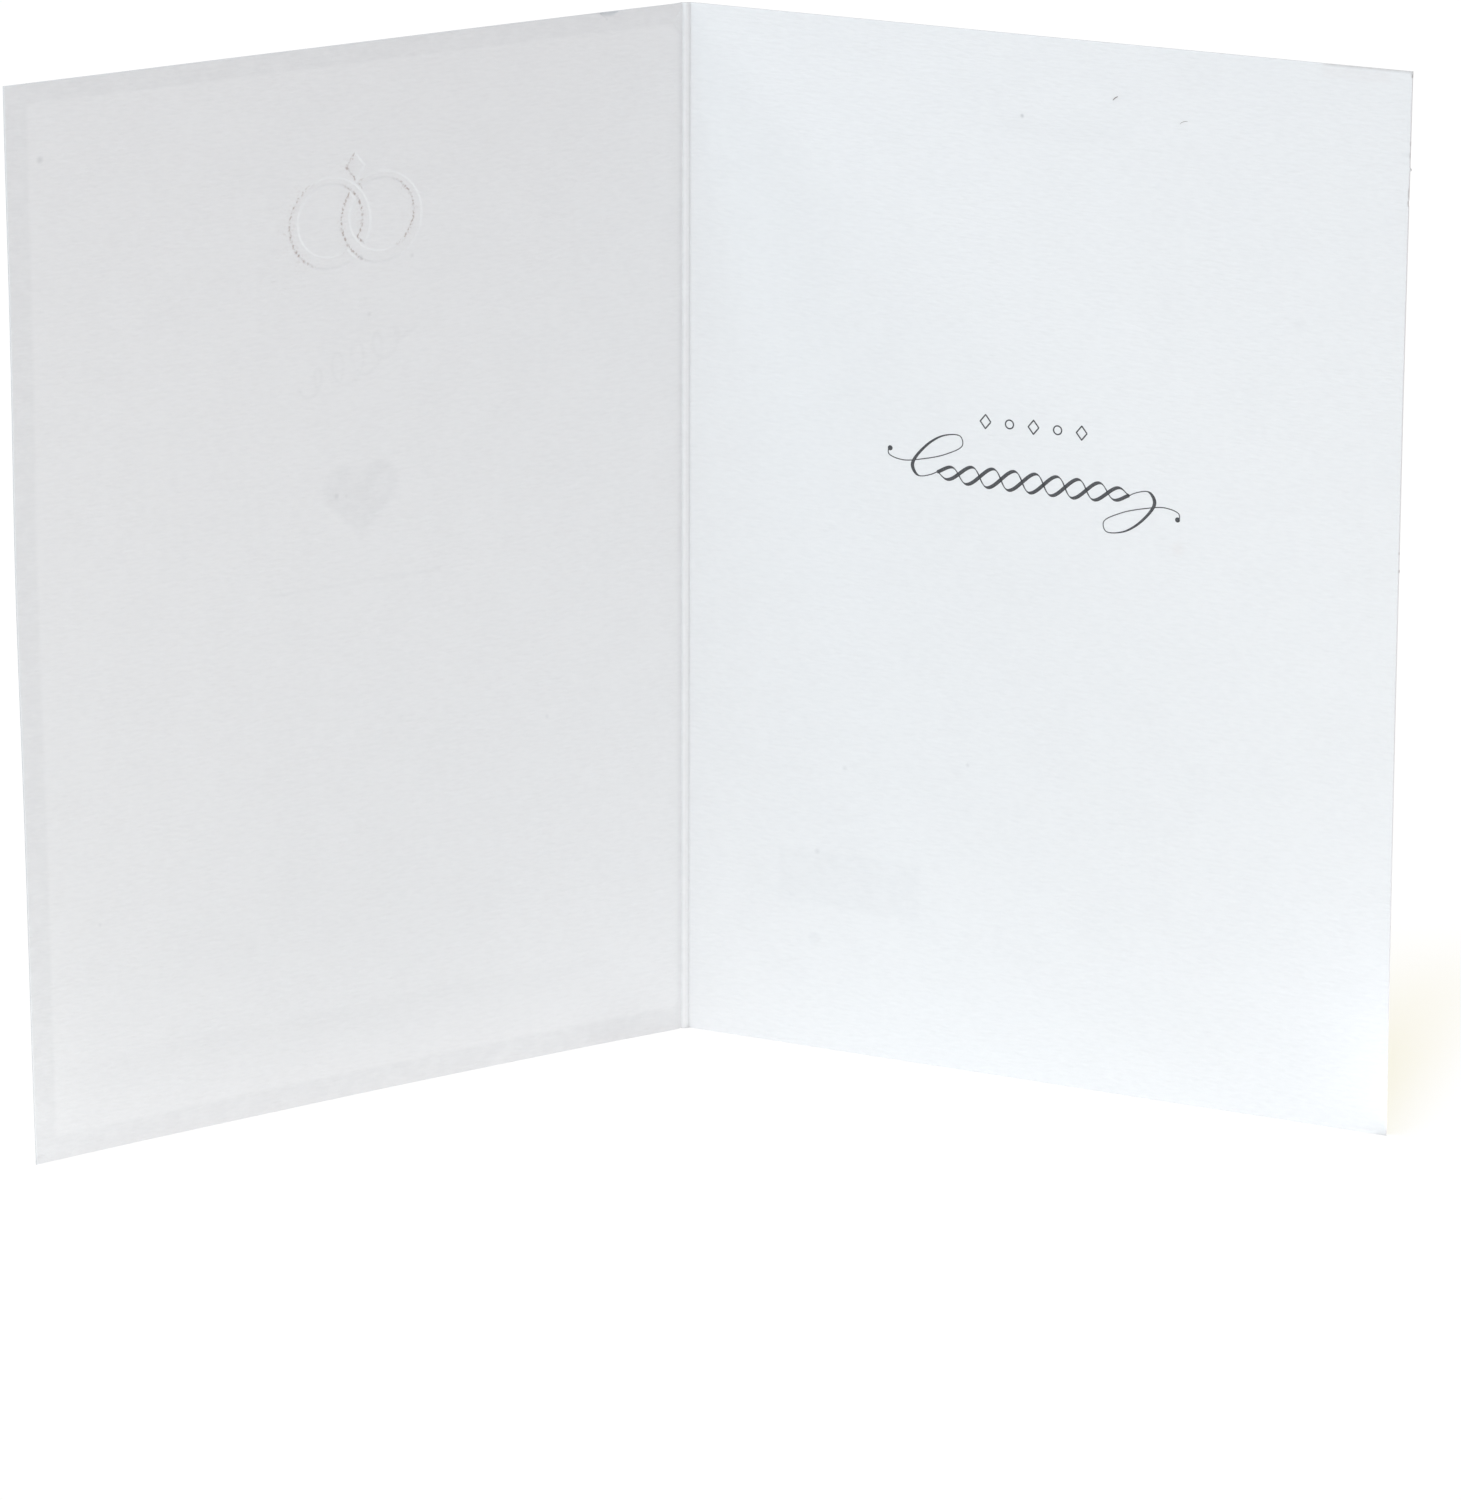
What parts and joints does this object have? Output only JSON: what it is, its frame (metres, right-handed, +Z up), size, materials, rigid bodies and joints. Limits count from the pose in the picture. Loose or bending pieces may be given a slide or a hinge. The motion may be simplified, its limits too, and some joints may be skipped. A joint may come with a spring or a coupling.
{
  "type": "greeting card",
  "caption": "Folded greeting card of white textured board, standing open on its foot, with a creased fold and linked rings pressed into the front cover.",
  "frame": {"origin": "under the middle of the open card, on the surface it stands on", "axes": "+Z up along the fold, +X across the opening from the front cover to the back cover, +Y from the opening towards the fold"},
  "size_m": [0.2222, 0.0644, 0.178],
  "materials": {
    "board": "matte"
  },
  "bodies": {
    "root": {"card": "board"}
  },
  "joints": []
}
